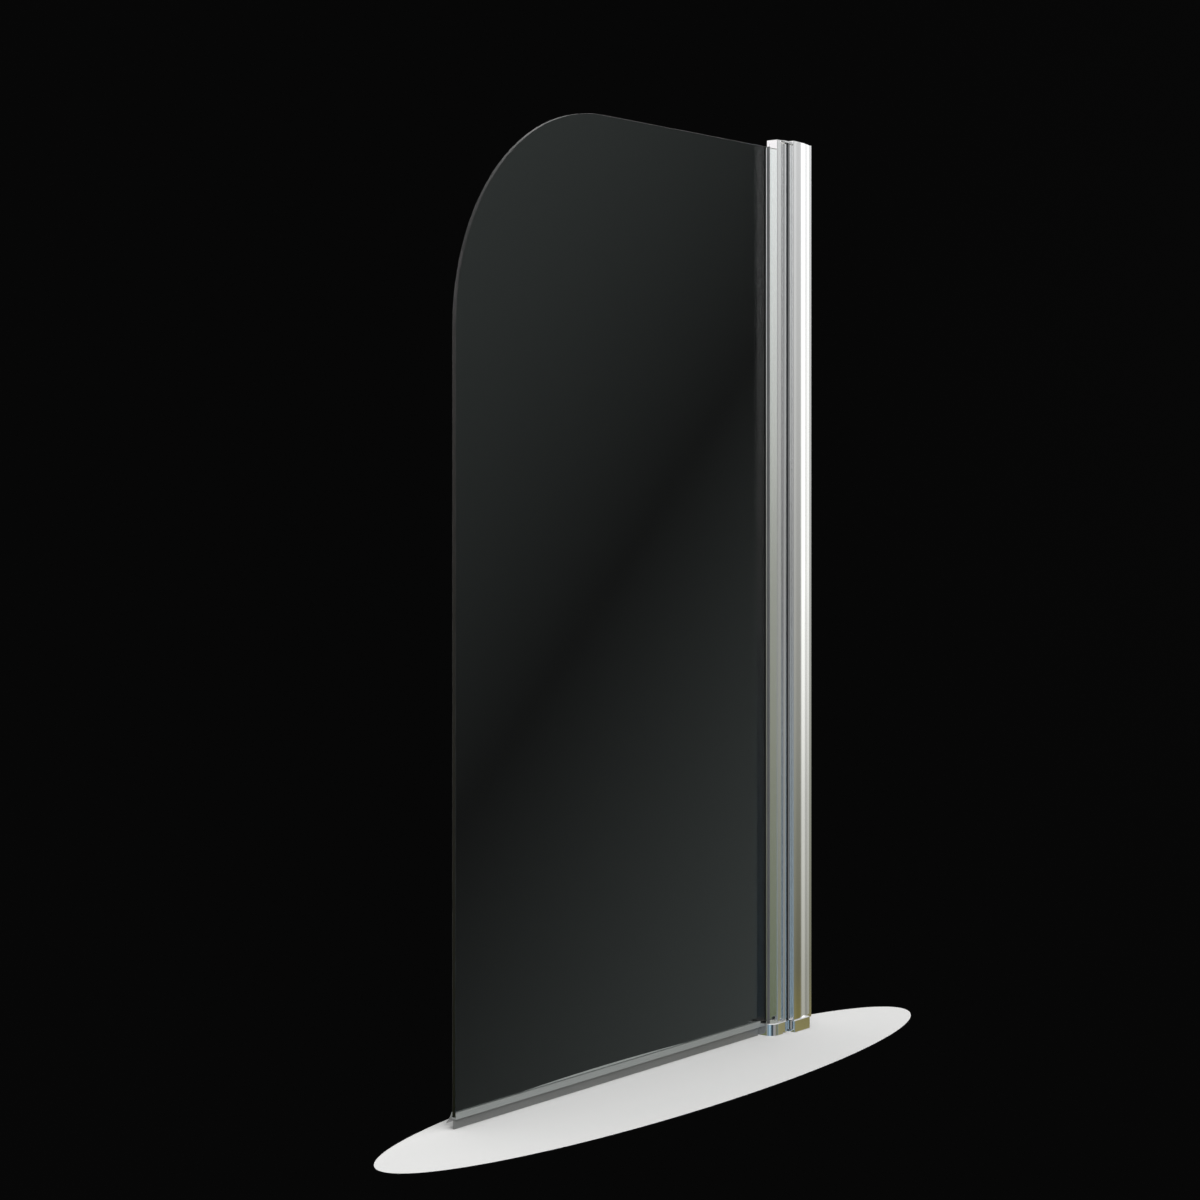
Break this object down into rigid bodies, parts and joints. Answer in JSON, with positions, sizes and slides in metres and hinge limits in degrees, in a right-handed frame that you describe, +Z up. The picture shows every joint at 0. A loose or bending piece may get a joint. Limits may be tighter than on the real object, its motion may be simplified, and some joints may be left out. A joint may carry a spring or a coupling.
{
  "type": "bath screen",
  "caption": "Pivoting glass bath screen with a rounded top corner: its hinge profile turns beside an adjuster that slides over a wall channel, and a soft seal with a drip fin closes the foot.",
  "frame": {"origin": "on the wall face, in line with the middle of the glass's thickness, at the height of the wall channel's lower end. The seal's blade and the two feet reach 14 mm below it, to the bath's rim.", "axes": "+X into the wall, so the glass reaches along -X; +Y to the bath side, so the room is at -Y; +Z up. Stored closed: the glass lies along X, in line with the profiles."},
  "size_m": [0.832, 0.0502, 1.4],
  "materials": {
    "chromed_profile": "polished aluminium extrusion with a bright chrome-like finish",
    "chromed_casting": "polished chrome plating over a casting",
    "clear_glass": "clear toughened glass with a faint green edge",
    "grey_gasket": "dark grey extruded glazing gasket, satin",
    "seal_pvc": "translucent flexible plastic extrusion, slightly frosted",
    "stainless": "stainless steel, turned",
    "nylon": "natural white nylon",
    "plug_plastic": "light grey moulded plastic",
    "cover_plastic": "silver-grey moulded plastic, glossy",
    "packing": "black glazing packing"
  },
  "bodies": {
    "wall_channel": {"wall_channel": "chromed_profile", "channel_top_plug": "plug_plastic"},
    "adjuster": {"adjuster_profile": "chromed_profile", "top_hinge_arm": "chromed_casting", "bottom_hinge_arm": "chromed_casting", "top_hinge_pin": "stainless", "bottom_hinge_pin": "stainless", "top_arm_screw": "stainless", "bottom_arm_screw": "stainless", "lock_screws": "stainless", "lock_nuts": "stainless", "cover_bases": "nylon", "screw_covers": "cover_plastic", "hinge_gap_seal": "grey_gasket", "top_thrust_washer": "nylon", "bottom_thrust_washer": "nylon"},
    "screen": {"glass_panel": "clear_glass", "hinge_profile": "chromed_profile", "front_gasket": "grey_gasket", "rear_gasket": "grey_gasket", "edge_blocks": "packing", "setting_block": "packing", "glass_top_cap": "chromed_casting", "glass_shoe": "chromed_casting", "top_bush": "nylon", "bottom_bush": "nylon", "top_cap_screw": "stainless", "shoe_screw": "stainless", "bottom_seal": "seal_pvc"}
  },
  "joints": [
    {"name": "width_adjustment", "type": "slide", "parent": "wall_channel", "child": "adjuster", "axis": [1, 0, 0], "range_m": [-0.012, 0.008]},
    {"name": "screen_pivot", "type": "hinge", "parent": "adjuster", "child": "screen", "pos_m": [-0.0762, -0.0173, 0], "axis": [0, 0, 1], "range_deg": [-90, 90]}
  ]
}
